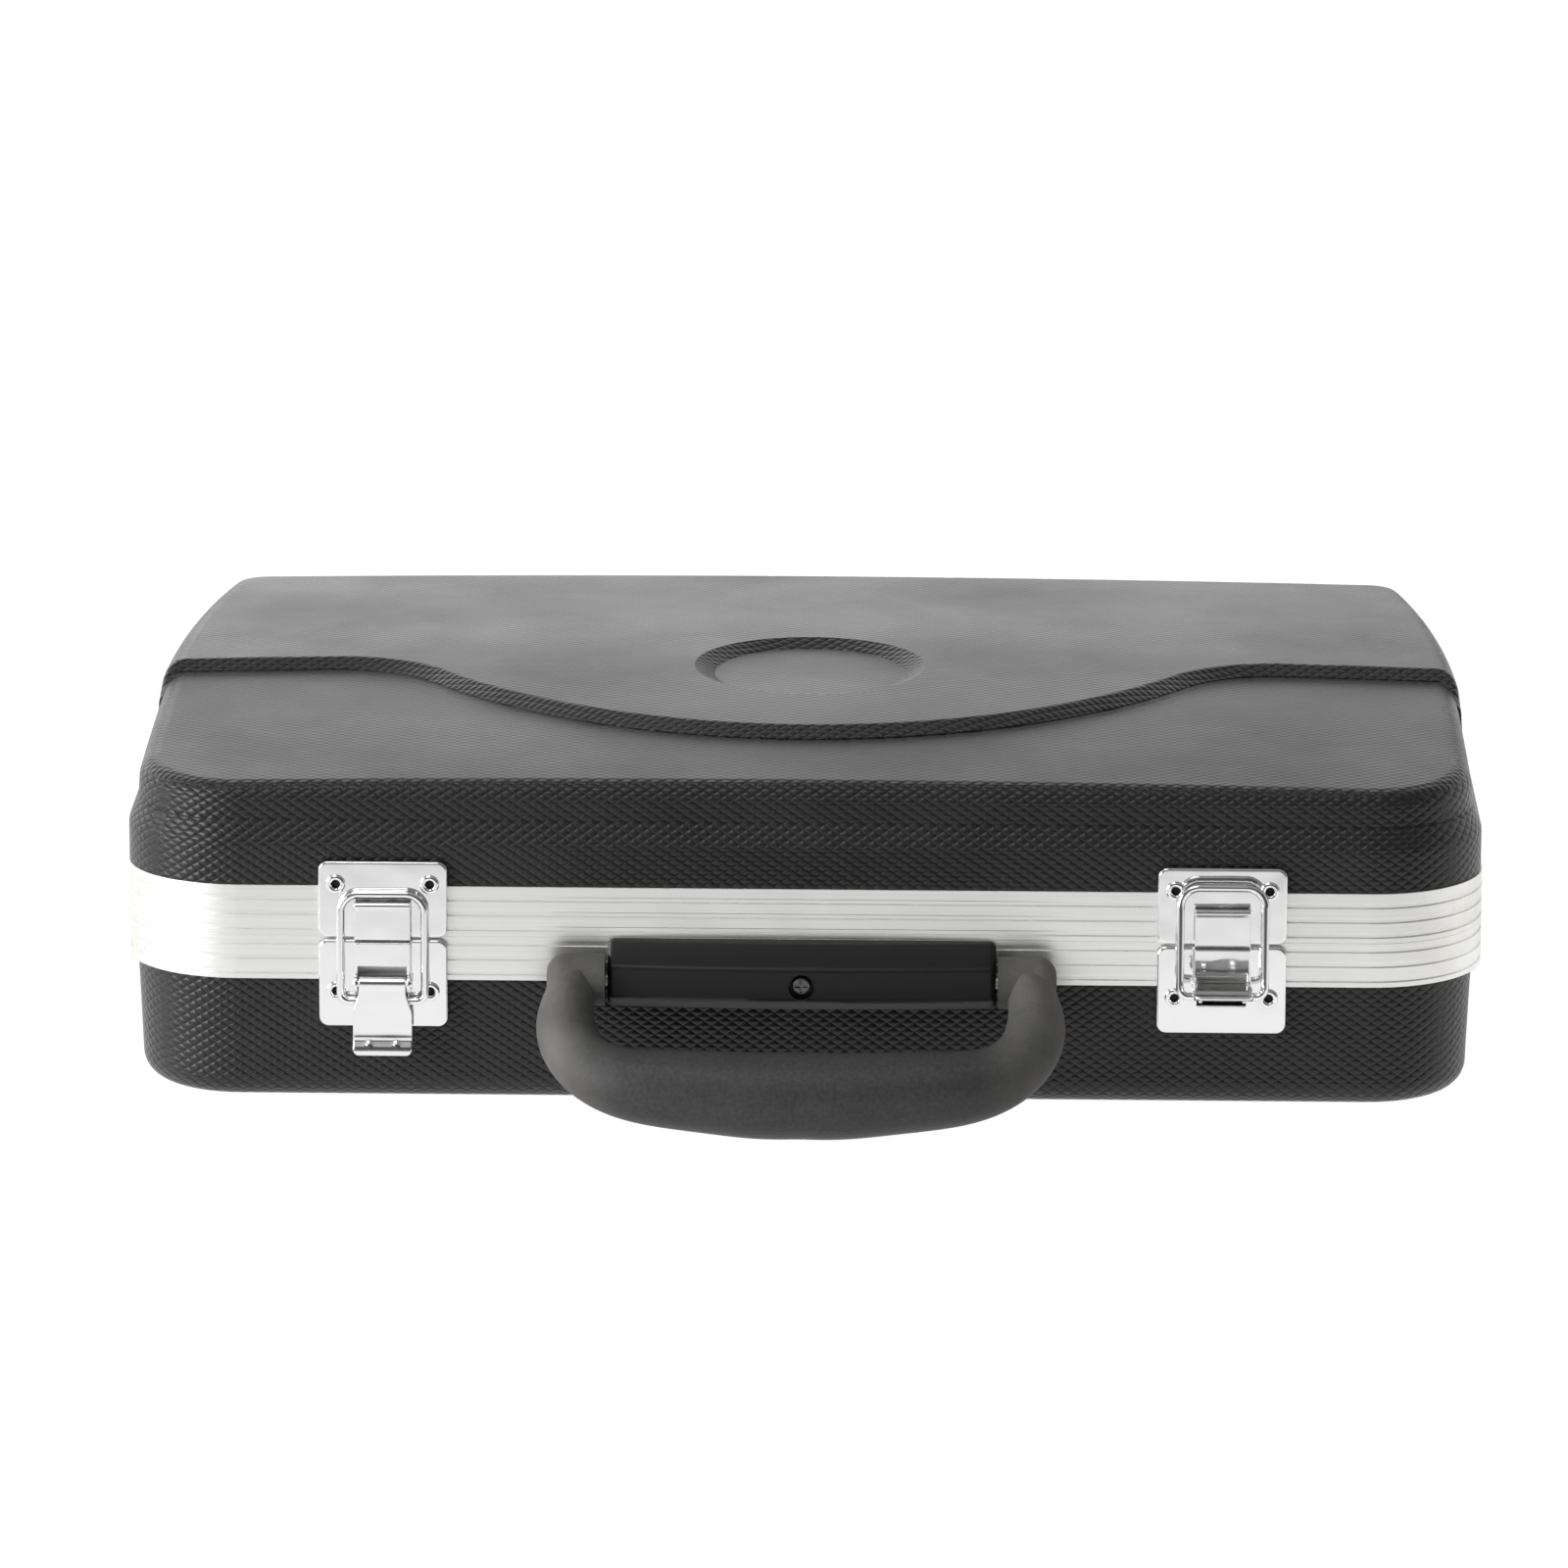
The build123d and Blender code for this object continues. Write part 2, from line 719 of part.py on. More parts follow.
def latch_base(x):
    """The base's half of a latch: a pressed plate with a bridge and ears for the lever's pin."""
    cheek = hook_width / 2 - sheet
    ear_bottom = pivot_height - ear_foot
    with BuildPart() as bracket:
        add(pan(x, plate_foot, base_plate_height, fit_gap - neck_inset))
        with Locations((x, front, base_rim_bottom - fit_gap)):
            Box(
                plate_width,
                2 * neck_inset,
                base_plate_height,
                align=(Align.CENTER, Align.MIN, Align.MIN),
                mode=Mode.SUBTRACT,
            )
        with BuildSketch(front_plane(x)):
            with Locations(((plate_stand - sheet / 2 + hook_front) / 2, (ear_bottom + plate_top) / 2)):
                Rectangle(hook_front - plate_stand + sheet / 2, plate_top - ear_bottom)
            with Locations((pivot_reach, pivot_height)):
                Circle(ear_radius)
        extrude(amount=hook_width / 2, both=True)
        with BuildSketch(front_plane(x)):
            window = pivot_height - ear_radius - ear_foot
            with Locations((hook_front - sheet, (window + plate_top - sheet) / 2)):
                Rectangle(2 * hook_front, plate_top - sheet - window, align=(Align.MAX, Align.CENTER))
            with Locations((hook_front - sheet, plate_top - bridge_height)):
                Rectangle(2 * ear_radius + sheet, 2 * hook_front, align=(Align.MIN, Align.MAX))
        extrude(amount=cheek, both=True, mode=Mode.SUBTRACT)
        with BuildSketch(front_plane(x)):
            with Locations((pivot_reach, pivot_height)):
                Circle(pin_radius)
        extrude(amount=hook_width, both=True, mode=Mode.SUBTRACT)
        points = [(x + side * rivet_spacing / 2, base_rivet_height) for side in (-1, 1)]
        drill(face_plane(plate_stand), points, shank_hole, plate_stand)
    return bracket


def latch_pin(x):
    """The lever's pivot pin, with its ends rounded over outside the ears."""
    with BuildPart() as pin:
        with BuildSketch(front_plane(x)):
            with Locations((pivot_reach, pivot_height)):
                Circle(pin_radius)
        extrude(amount=hook_width / 2 + sheet / 2, both=True)
        ends = pin.edges().filter_by(GeomType.CIRCLE)
        fillet(ends, sheet / 3)
    return pin


def lever_plane(x, swing):
    """Section plane of a lever through its pivot, turned out by swing degrees from closed."""
    turn = radians(swing)
    return Plane(
        origin=(x, front - pivot_reach, pivot_height),
        x_dir=(0, -cos(turn), sin(turn)),
        z_dir=(-1, 0, 0),
    )


def latch_lever(x, swing):
    """A lever: a rolled barrel, a widening face with side flanges and a stepped finger tab."""
    side = lever_plane(x, swing)
    outside = barrel_radius - sheet / 2
    bail_foot = bail_arm * sin(radians(bail_arm_angle))
    with BuildPart() as lever:
        with BuildSketch(side):
            with BuildLine() as bent_sheet:
                FilletPolyline(
                    (outside, 0),
                    (outside, -lever_face),
                    (outside - tab_step, -lever_face - 2 * tab_step),
                    (outside - tab_step, -lever_length + 3 * lip_reach),
                    (outside + lip_reach - tab_step / 2, -lever_length + sheet / 2),
                    radius=tab_step,
                )
            trace(bent_sheet.wire(), line_width=sheet)
        extrude(amount=tab_width / 2, both=True)
        with BuildSketch(Plane(origin=side.origin, x_dir=-side.z_dir, z_dir=side.x_dir)):
            with BuildLine():
                Polyline(
                    (-lever_width / 2, barrel_radius),
                    (-lever_width / 2, -barrel_radius),
                    (-tab_width / 2, -lever_face + barrel_radius),
                    (-tab_width / 2, -lever_length - sheet),
                    (tab_width / 2, -lever_length - sheet),
                    (tab_width / 2, -lever_face + barrel_radius),
                    (lever_width / 2, -barrel_radius),
                    (lever_width / 2, barrel_radius),
                    close=True,
                )
            make_face()
        extrude(amount=2 * barrel_radius, mode=Mode.INTERSECT)
        with BuildSketch(side):
            Circle(barrel_radius)
        extrude(amount=lever_width / 2, both=True)
        for way in (-1, 1):
            with BuildSketch(side.offset(way * (lever_width - sheet) / 2)):
                with Locations((outside, 0)):
                    Rectangle(
                        outside + barrel_radius,
                        -bail_foot + barrel_radius,
                        align=(Align.MAX, Align.MAX),
                    )
            extrude(amount=sheet / 2, both=True)
        with BuildSketch(side):
            Circle(pin_radius + running_gap)
            with Locations((bail_arm * cos(radians(bail_arm_angle)), bail_foot)):
                Circle(wire_radius + running_gap)
        extrude(amount=tab_width, both=True, mode=Mode.SUBTRACT)
    return lever


# The bail hangs on the lever below its pivot and reaches up over the hook
bail_arm = hypot(bail_pivot_reach - pivot_reach, bail_pivot_drop - pivot_drop)
bail_arm_angle = degrees(atan2(pivot_drop - bail_pivot_drop, bail_pivot_reach - pivot_reach))
bail_length = hypot(bail_hook_reach - bail_pivot_reach, bail_hook_rise + bail_pivot_drop)
bail_closed_angle = degrees(atan2(bail_hook_rise + bail_pivot_drop, bail_hook_reach - bail_pivot_reach))


def bail(x, swing):
    """A wire loop in its plane: feet bent into the lever, sides and a rounded top bar."""
    arm_angle = radians(bail_arm_angle + swing)
    lean = radians(bail_closed_angle + bail_lean * swing)
    foot = (
        x,
        front - pivot_reach - bail_arm * cos(arm_angle),
        pivot_height + bail_arm * sin(arm_angle),
    )
    plane = Plane(origin=foot, x_dir=(1, 0, 0), z_dir=(0, -sin(lean), -cos(lean)))
    inner_end = lever_width / 2 - sheet - bail_end
    half = bail_width / 2
    with BuildPart() as loop:
        with BuildLine(plane) as wire_line:
            FilletPolyline(
                (-inner_end, 0),
                (-half, 0),
                (-half, bail_length / 2),
                radius=bail_foot_bend,
            )
            FilletPolyline(
                (-half, bail_length / 2),
                (-half, bail_length),
                (half, bail_length),
                (half, bail_length / 2),
                radius=bail_corner,
            )
            FilletPolyline(
                (half, bail_length / 2),
                (half, 0),
                (inner_end, 0),
                radius=bail_foot_bend,
            )
        start = plane.from_local_coords((-inner_end, 0, 0))
        with BuildSketch(Plane(origin=start, z_dir=(-1, 0, 0))):
            Circle(wire_radius)
        sweep(path=wire_line.wire())
    return loop


for name, x in latch_places.items():
    swing = lever_open[name]
    write(catch_plate(x), f"catch_plate_{name}")
    write(latch_base(x), f"latch_base_{name}")
    write(latch_pin(x), f"latch_pin_{name}")
    write(latch_lever(x, swing), f"latch_lever_{name}")
    write(bail(x, swing), f"latch_bail_{name}")

with BuildPart() as catch_plate_rivets:
    add(rivet_row(front_plane, catch_rivets, rivet_radius, plate_stand, plate_rivet_depth))
write(catch_plate_rivets, "catch_plate_rivets")

with BuildPart() as latch_base_rivets:
    add(rivet_row(front_plane, base_rivets, rivet_radius, plate_stand, plate_rivet_depth))
write(latch_base_rivets, "latch_base_rivets")


# ---------------------------------------------------------------------------
# Handle and its mount
# ---------------------------------------------------------------------------
mount_top = parting_height - mount_top_drop
mount_bottom = parting_height - mount_bottom_drop
arm_inner = mount_width / 2 + arm_gap
eye_middle = arm_inner + eye_width / 2
grip_drop = handle_pivot_height - grip_radius - grip_clearance
grip_arm = hypot(grip_reach - handle_pivot_reach, grip_drop)
handle_hang = degrees(atan2(grip_drop, grip_reach - handle_pivot_reach))

with BuildPart() as handle_mount:
    with BuildSketch(front_plane(0)) as mount_section:
        with BuildLine():
            Polyline(
                (-2 * neck_inset, mount_top),
                (mount_reach * 0.35, mount_top),
                (mount_reach, mount_top - mount_reach * 0.4),
                (mount_reach, mount_bottom + mount_reach * 0.25),
                (mount_reach * 0.7, mount_bottom),
                (-2 * neck_inset, mount_bottom),
                close=True,
            )
        make_face()
        fillet(mount_section.vertices().filter_by(lambda v: v.X > 0), mount_edge_radius)
    revolve(axis=Axis((0, front - mount_reach + mount_bow_radius, 0), (0, 0, 1)))
    with BuildSketch(front_plane(0)):
        with BuildLine():
            Polyline(
                (2 * mount_reach, mount_top),
                (0, mount_top),
                (0, base_rim_bottom - fit_gap),
                (fit_gap - neck_inset, base_rim_bottom - fit_gap),
                (fit_gap - neck_inset, mount_bottom),
                (2 * mount_reach, mount_bottom),
                close=True,
            )
        make_face()
    extrude(amount=mount_width / 2, both=True, mode=Mode.INTERSECT)
    ends = handle_mount.faces().filter_by(Axis.X)
    end_edges = ends.edges().filter_by(
        lambda e: e.center().Y < front - 0.1 and e.bounding_box().min.Y < front - 0.1
    )
    fillet(end_edges, mount_edge_radius)
    drill(face_plane(mount_reach), [(0, screw_height)], screw_bore_radius, screw_recess + screw_head_height)
    drill(face_plane(mount_reach), [(0, screw_height)], screw_radius + fit_gap, 2 * mount_reach)
    for way in (-1, 1):
        with BuildSketch(front_plane(way * mount_width / 2)):
            with Locations((handle_pivot_reach, handle_pivot_height)):
                Circle(handle_pin_radius)
        extrude(amount=way * handle_pin_depth, mode=Mode.SUBTRACT)
write(handle_mount, "handle_mount")

with BuildPart() as handle_pins:
    for way in (-1, 1):
        with BuildSketch(front_plane(way * (mount_width / 2 + handle_pin_reach))):
            with Locations((handle_pivot_reach, handle_pivot_height)):
                Circle(handle_pin_radius)
        extrude(amount=way * (handle_pin_depth + handle_pin_reach))
write(handle_pins, "handle_pins")

with BuildPart() as mount_screw:
    seat = mount_reach - screw_recess - screw_head_height
    with BuildSketch(face_plane(seat)):
        with Locations((0, screw_height)):
            Circle(screw_head_radius)
    extrude(amount=screw_head_height)
    fillet(mount_screw.faces().sort_by(Axis.Y)[0].edges(), screw_head_height / 2)
    with BuildSketch(face_plane(seat)):
        with Locations((0, screw_height)):
            Circle(screw_radius)
    extrude(amount=-(seat + neck_inner + backing_gap + backing_thickness))
    with BuildSketch(face_plane(seat + screw_head_height)):
        with Locations((0, screw_height)):
            Rectangle(screw_cross_width, screw_cross_length)
            Rectangle(screw_cross_length, screw_cross_width)
    extrude(amount=-screw_head_height / 2, mode=Mode.SUBTRACT)
write(mount_screw, "handle_mount_screw")

with BuildPart() as backing_plate:
    with BuildSketch(face_plane(-neck_inner - backing_gap)):
        with Locations((0, screw_height)):
            RectangleRounded(backing_width, backing_height, backing_height / 3)
            Circle(screw_radius, mode=Mode.SUBTRACT)
    extrude(amount=-backing_thickness)
write(backing_plate, "handle_backing_plate")


def handle_plane():
    """The handle's own plane at rest: X along the case, Y from the pivot out to the grip."""
    hang = radians(handle_hang)
    return Plane(
        origin=(0, front - handle_pivot_reach, handle_pivot_height),
        x_dir=(1, 0, 0),
        z_dir=(0, -sin(hang), cos(hang)),
    )


def handle_eye(way):
    """The end of an arm: a short rounded cylinder about the pin, right or left by way."""
    side = Plane(origin=handle_plane().origin, x_dir=(0, 1, 0), z_dir=(way, 0, 0))
    with BuildPart() as eye:
        with BuildSketch(side.offset(arm_inner)):
            Circle(eye_radius)
        extrude(amount=eye_width)
        outer = eye.faces().sort_by(Axis.X, reverse=way > 0)[0]
        fillet(outer.edges(), eye_round)
    return eye.part


# The handle is one smooth body along a bow, between two eyes that hold its pins
with BuildPart() as handle_grip:
    plane = handle_plane()
    left_half = [(-along, out, -turn, wide, thick) for along, out, turn, wide, thick in handle_stations]
    for along, out, turn, wide, thick in left_half[:0:-1] + handle_stations:
        centre = plane.from_local_coords((along * eye_middle, -out * grip_arm, 0))
        flow = plane.x_dir * cos(radians(turn)) + plane.y_dir * sin(radians(turn))
        with BuildSketch(Plane(origin=centre, x_dir=plane.z_dir, z_dir=flow)):
            Ellipse(thick * grip_radius, wide * grip_radius)
    loft()
    for way in (-1, 1):
        add(handle_eye(way))
        side = Plane(origin=plane.origin, x_dir=(0, 1, 0), z_dir=(way, 0, 0))
        with BuildSketch(side.offset(arm_inner)):
            Circle(handle_pin_radius + running_gap)
        extrude(amount=handle_pin_reach, mode=Mode.SUBTRACT)
write(handle_grip, "handle_grip")


# ---------------------------------------------------------------------------
# Hinges
# ---------------------------------------------------------------------------
def hinge_leaf_part(x, way):
    """A hinge leaf on the back of a rim with its knuckles: way is -1 for the lower one."""
    pitch = hinge_width / hinge_knuckles
    own = [n for n in range(hinge_knuckles) if n % 2 == (0 if way < 0 else 1)]
    side = rear_plane(x)
    notch = hinge_knuckle_radius + knuckle_gap
    with BuildPart() as leaf:
        with BuildSketch(back_face_plane(0)):
            with Locations((-x, parting_height + way * (notch + hinge_leaf_height) / 2)):
                RectangleRounded(hinge_width, hinge_leaf_height - notch, plate_corner / 2)
        extrude(amount=hinge_leaf)
        for n in own:
            middle = (n - (hinge_knuckles - 1) / 2) * pitch
            with BuildSketch(rear_plane(x + middle)):
                with Locations((0, parting_height)):
                    Rectangle(
                        hinge_leaf,
                        notch + plate_corner,
                        align=(Align.MIN, Align.MIN if way > 0 else Align.MAX),
                    )
                with Locations((hinge_reach, parting_height)):
                    Circle(hinge_knuckle_radius)
            extrude(amount=(pitch - knuckle_gap) / 2, both=True)
        with BuildSketch(side):
            with Locations((hinge_reach, parting_height)):
                Circle(hinge_pin_radius + (0 if way < 0 else running_gap))
        extrude(amount=hinge_width, both=True, mode=Mode.SUBTRACT)
        points = [
            (-x + side_way * hinge_rivet_spacing / 2, parting_height + way * hinge_rivet_drop)
            for side_way in (-1, 1)
        ]
        drill(back_face_plane(hinge_leaf), points, shank_hole, hinge_leaf)
    return leaf


def hinge_pin(x):
    """A hinge pin, as long as its knuckles."""
    with BuildPart() as pin:
        with BuildSketch(rear_plane(x)):
            with Locations((hinge_reach, parting_height)):
                Circle(hinge_pin_radius)
        extrude(amount=hinge_width / 2, both=True)
    return pin


for name, x in hinge_places.items():
    write(hinge_leaf_part(x, -1), f"hinge_leaf_lower_{name}")
    write(hinge_leaf_part(x, 1), f"hinge_leaf_upper_{name}")
    write(hinge_pin(x), f"hinge_pin_{name}")

with BuildPart() as lower_rivets:
    add(rivet_row(rear_plane, lower_hinge_rivets, hinge_rivet_radius, hinge_leaf, hinge_rivet_depth))
write(lower_rivets, "hinge_rivets_lower")

with BuildPart() as upper_rivets:
    add(rivet_row(rear_plane, upper_hinge_rivets, hinge_rivet_radius, hinge_leaf, hinge_rivet_depth))
write(upper_rivets, "hinge_rivets_upper")
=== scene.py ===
"""The clarinet case as photographed: materials, plush, latch details, camera and light."""

import math

import bmesh
import bpy
from mathutils import Matrix, Vector


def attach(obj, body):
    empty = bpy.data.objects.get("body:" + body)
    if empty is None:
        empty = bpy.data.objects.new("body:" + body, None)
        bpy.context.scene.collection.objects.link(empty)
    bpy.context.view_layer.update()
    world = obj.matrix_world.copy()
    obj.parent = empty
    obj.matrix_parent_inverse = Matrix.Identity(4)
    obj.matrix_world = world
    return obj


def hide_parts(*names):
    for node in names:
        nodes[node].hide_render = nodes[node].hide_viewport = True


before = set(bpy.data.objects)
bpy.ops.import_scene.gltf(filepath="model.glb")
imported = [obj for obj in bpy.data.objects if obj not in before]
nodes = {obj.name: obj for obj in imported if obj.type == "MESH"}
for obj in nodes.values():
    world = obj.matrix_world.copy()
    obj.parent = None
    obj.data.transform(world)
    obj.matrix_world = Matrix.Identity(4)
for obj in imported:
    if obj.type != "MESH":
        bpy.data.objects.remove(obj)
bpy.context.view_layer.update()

MM = 0.001
# corners closer than this are one corner
WELD = 0.01 * MM


# ---------------------------------------------------------------------------
# Material helpers
# ---------------------------------------------------------------------------
EDGE_SAMPLES = 6


def new_material(name):
    """A material with an empty node tree, its output and its Principled shader."""
    material = bpy.data.materials.new(name)
    material.use_nodes = True
    tree = material.node_tree
    tree.nodes.clear()
    output = tree.nodes.new("ShaderNodeOutputMaterial")
    shader = tree.nodes.new("ShaderNodeBsdfPrincipled")
    tree.links.new(shader.outputs["BSDF"], output.inputs["Surface"])
    return material, tree, shader


def math_node(tree, operation, *values):
    """A Math node. Each value is a number or the socket that feeds it."""
    node = tree.nodes.new("ShaderNodeMath")
    node.operation = operation
    for socket, value in zip(node.inputs, values):
        if isinstance(value, (int, float)):
            socket.default_value = value
        else:
            tree.links.new(value, socket)
    return node.outputs[0]


def ramp(tree, value, *stops):
    """A colour ramp through (position, grey or colour) stops."""
    node = tree.nodes.new("ShaderNodeValToRGB")
    elements = node.color_ramp.elements
    while len(elements) < len(stops):
        elements.new(0.5)
    for element, (position, colour) in zip(elements, stops):
        element.position = position
        element.color = colour if len(colour) == 4 else (*colour, 1)
    tree.links.new(value, node.inputs["Fac"])
    return node.outputs["Color"]


def grey(level):
    return (level, level, level, 1)


def noise(tree, coordinates, scale, detail, roughness):
    node = tree.nodes.new("ShaderNodeTexNoise")
    node.inputs["Scale"].default_value = scale
    node.inputs["Detail"].default_value = detail
    node.inputs["Roughness"].default_value = roughness
    tree.links.new(coordinates, node.inputs["Vector"])
    return node.outputs["Fac"]


def object_coordinates(tree):
    return tree.nodes.new("ShaderNodeTexCoord").outputs["Object"]


def parts_of(tree, vector):
    """The x, y and z sockets of a vector socket."""
    node = tree.nodes.new("ShaderNodeSeparateXYZ")
    tree.links.new(vector, node.inputs[0])
    return node.outputs


def map_range(tree, value, low, high, start=0.0, end=1.0):
    """The value's share of the way from low to high, clamped, laid between start and end."""
    node = tree.nodes.new("ShaderNodeMapRange")
    for socket, level in zip(("From Min", "From Max", "To Min", "To Max"), (low, high, start, end)):
        node.inputs[socket].default_value = level
    tree.links.new(value, node.inputs["Value"])
    return node.outputs[0]


def mix_colours(tree, share, first, second, blend="MIX"):
    """Two colours mixed. Each is a colour or the socket that feeds it."""
    node = tree.nodes.new("ShaderNodeMix")
    node.data_type = "RGBA"
    node.blend_type = blend
    tree.links.new(share, node.inputs[0])
    for index, colour in ((6, first), (7, second)):
        if isinstance(colour, tuple):
            node.inputs[index].default_value = colour
        else:
            tree.links.new(colour, node.inputs[index])
    return node.outputs[2]


def rounded_edges(tree, radius):
    """A normal that runs smoothly over edges, as a small radius on them would."""
    node = tree.nodes.new("ShaderNodeBevel")
    node.samples = EDGE_SAMPLES
    node.inputs["Radius"].default_value = radius
    return node.outputs[0]


def bump(tree, shader, height, distance, strength=1.0, base=None):
    node = tree.nodes.new("ShaderNodeBump")
    if base is not None:
        tree.links.new(base, node.inputs["Normal"])
    node.inputs["Distance"].default_value = distance
    node.inputs["Strength"].default_value = strength
    tree.links.new(height, node.inputs["Height"])
    tree.links.new(node.outputs["Normal"], shader.inputs["Normal"])


def paint(names, material):
    """Give the named CAD nodes a material in every slot."""
    for name in names:
        for slot in nodes[name].material_slots:
            slot.material = material


def matching(*starts):
    return [name for name in nodes if name.startswith(starts)]


# ---------------------------------------------------------------------------
# Mesh helpers
# ---------------------------------------------------------------------------
RING_STEPS = 40


def add_object(name, data):
    """A new object in the scene."""
    thing = bpy.data.objects.new(name, data)
    bpy.context.scene.collection.objects.link(thing)
    return thing


def shade_smooth(mesh):
    for face in mesh.polygons:
        face.use_smooth = True


def welded(mesh):
    """An editable copy of a mesh, with each corner there only once."""
    form = bmesh.new()
    form.from_mesh(mesh)
    bmesh.ops.remove_doubles(form, verts=form.verts, dist=WELD)
    return form


def apply_modifiers(piece):
    """The modifiers' result becomes the piece's mesh, and no modifier is left."""
    graph = bpy.context.evaluated_depsgraph_get()
    mesh = bpy.data.meshes.new_from_object(piece.evaluated_get(graph))
    piece.modifiers.clear()
    piece.data = mesh


def new_piece(name, form, material):
    """A smooth-shaded object made of an editable form, with one material."""
    mesh = bpy.data.meshes.new(name)
    bmesh.ops.recalc_face_normals(form, faces=form.faces)
    form.to_mesh(mesh)
    form.free()
    mesh.materials.append(material)
    shade_smooth(mesh)
    return add_object(name, mesh)


def islands(mesh):
    """The mesh's separate solids in the order of its corners, each as its corner points."""
    form = welded(mesh)
    reached = set()
    found = []
    for first in form.verts:
        if first in reached:
            continue
        reached.add(first)
        stack = [first]
        points = []
        while stack:
            corner = stack.pop()
            points.append(corner.co.copy())
            for edge in corner.link_edges:
                other = edge.other_vert(corner)
                if other not in reached:
                    reached.add(other)
                    stack.append(other)
        found.append(points)
    form.free()
    return found


def bridge(form, ring, following):
    """A closed band of faces from one ring of corners to the next."""
    for k, near in enumerate(ring):
        far = (k + 1) % len(ring)
        form.faces.new((near, ring[far], following[far], following[k]))


def circle(radius):
    """Points round a circle, as (across, rise) pairs."""
    turns = [2 * math.pi * step / RING_STEPS for step in range(RING_STEPS)]
    return [(radius * math.cos(turn), radius * math.sin(turn)) for turn in turns]


def revolve(form, section, corner):
    """A ring of a closed half section, whose points are (radius, distance along the axis).

    corner gives the point in space for across, rise and the distance along the axis.
    """
    circles = [circle(radius) for radius, _ in section]
    rings = []
    for step in range(RING_STEPS):
        ring = []
        for points, (_, distance) in zip(circles, section):
            across, rise = points[step]
            ring.append(form.verts.new(corner(across, rise, distance)))
        rings.append(ring)
    for ring, following in zip(rings, rings[1:] + rings[:1]):
        bridge(form, ring, following)


# ---------------------------------------------------------------------------
# Moulded plastic with a woven lozenge texture
# ---------------------------------------------------------------------------
WEAVE_WIDTH = 3.7 * MM
WEAVE_HEIGHT = 2.5 * MM
WEAVE_DEPTH = 0.30 * MM
# exponent of the lozenges' height: under 1, their tops are broad and the creases narrow
LOZENGE_FULLNESS = 0.55
# exponent that gives each face the lozenges of the one side that it faces most
SIDE_FOCUS = 10
# The flat top is worn nearly smooth: this share of the depth is left where a face looks
# straight up. The wear starts and is complete at these upward shares of its normal.
WEAVE_ON_FLAT = 0.2
FLAT_FROM, FLAT_FULL = 0.90, 0.985


def lozenges(tree, across, along):
    """Height of a field of staggered lozenges, from two coordinates in metres."""
    u = math_node(tree, "DIVIDE", across, WEAVE_WIDTH)
    v = math_node(tree, "DIVIDE", along, WEAVE_HEIGHT)
    rising = math_node(tree, "ADD", u, v)
    falling = math_node(tree, "SUBTRACT", u, v)
    ridges = []
    for diagonal in (rising, falling):
        wave = math_node(tree, "SINE", math_node(tree, "MULTIPLY", diagonal, math.pi))
        ridges.append(math_node(tree, "ABSOLUTE", wave))
    return math_node(tree, "POWER", math_node(tree, "MULTIPLY", *ridges), LOZENGE_FULLNESS)


def weave_height(tree, coordinates):
    """The height of lozenges laid on each face from its own side, and how much is left of it."""
    x, y, z = parts_of(tree, coordinates.outputs["Object"])
    normal = parts_of(tree, coordinates.outputs["Normal"])
    height = weights = None
    for (across, along), part in zip(((y, z), (x, z), (x, y)), normal):
        weight = math_node(tree, "POWER", math_node(tree, "ABSOLUTE", part), SIDE_FOCUS)
        here = math_node(tree, "MULTIPLY", lozenges(tree, across, along), weight)
        height = here if height is None else math_node(tree, "ADD", height, here)
        weights = weight if weights is None else math_node(tree, "ADD", weights, weight)
    level = math_node(tree, "ABSOLUTE", normal[2])
    kept = map_range(tree, level, FLAT_FROM, FLAT_FULL, 1.0, WEAVE_ON_FLAT)
    return math_node(tree, "DIVIDE", height, weights), kept


def woven_plastic():
    """Black moulded plastic: the weave as a bump with painted shade in its creases, mottled and
    worn.
    """
    material, tree, shader = new_material("woven_plastic")
    coordinates = tree.nodes.new("ShaderNodeTexCoord")
    weave, kept = weave_height(tree, coordinates)
    height = math_node(tree, "MULTIPLY", weave, kept)
    bump(tree, shader, height, WEAVE_DEPTH, base=rounded_edges(tree, 0.5 * MM))
    # painted shade: the colour darkens in the weave's creases, and less so where the weave is kept
    # shallow on flat tops
    painted_crease_shade = ramp(tree, weave, (0.12, grey(0.25)), (0.55, grey(1.0)))
    mottle = noise(tree, coordinates.outputs["Object"], scale=60, detail=4, roughness=0.6)
    colour = ramp(tree, mottle, (0.3, grey(0.013)), (0.75, grey(0.020)))
    colour = mix_colours(tree, kept, colour, painted_crease_shade, "MULTIPLY")
    tree.links.new(colour, shader.inputs["Base Color"])
    worn = noise(tree, coordinates.outputs["Object"], scale=14, detail=4, roughness=0.6)
    rough = ramp(tree, worn, (0.35, grey(0.30)), (0.7, grey(0.40)))
    tree.links.new(rough, shader.inputs["Roughness"])
    shader.inputs["IOR"].default_value = 1.5
    shader.inputs["Specular IOR Level"].default_value = 0.38
    return material


# ---------------------------------------------------------------------------
# Metals
# ---------------------------------------------------------------------------
# scale of the drawn lines' noise: long along the rim, fine over its height
DRAWN_LINES = (6, 6, 2600)
# the case's ends, where the rims are worn most: distance from the middle
ENDS_FROM, ENDS_FULL = 150 * MM, 180 * MM
# how strongly the scuffs' noise counts all along, and how much more at the ends
SCUFFS_ALONG, SCUFFS_AT_ENDS = 0.70, 0.22


